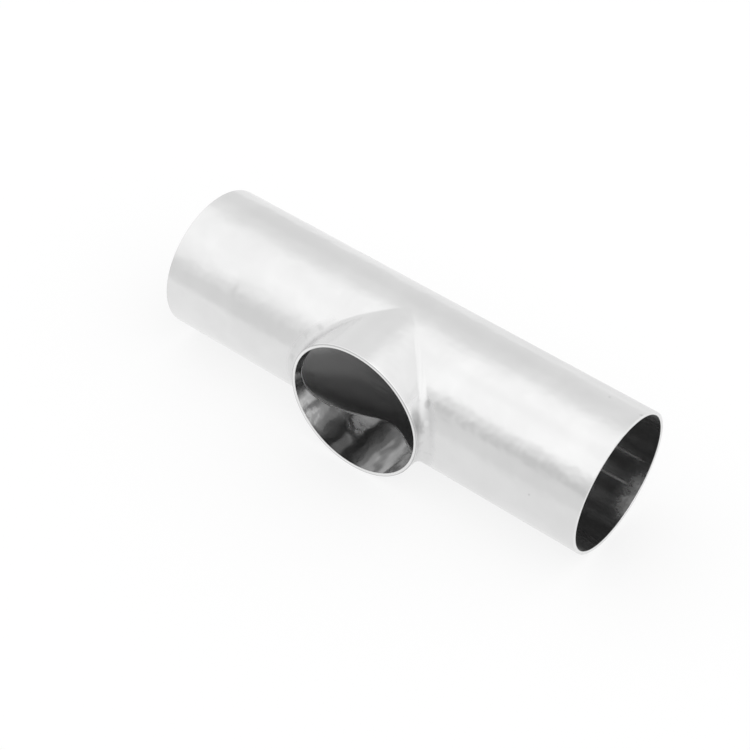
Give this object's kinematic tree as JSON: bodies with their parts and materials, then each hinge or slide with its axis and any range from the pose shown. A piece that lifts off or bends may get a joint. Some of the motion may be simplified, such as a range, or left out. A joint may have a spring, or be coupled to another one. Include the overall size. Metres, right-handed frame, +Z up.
{
  "type": "sanitary tee",
  "caption": "Stainless steel butt-weld tee for hygienic tubing: a long straight thin-walled run with a short equal outlet at its middle, all ends cut square.",
  "frame": {"origin": "the point where the run's axis and the outlet's axis cross", "axes": "+X along the run, the outlet opens towards -Y, +Z up as the tee lies on a flat surface"},
  "size_m": [0.167, 0.0543, 0.051],
  "materials": {
    "steel": "bright satin outside, mirror-like and dark inside"
  },
  "bodies": {
    "root": {"sanitary_tee": "steel"}
  },
  "joints": []
}
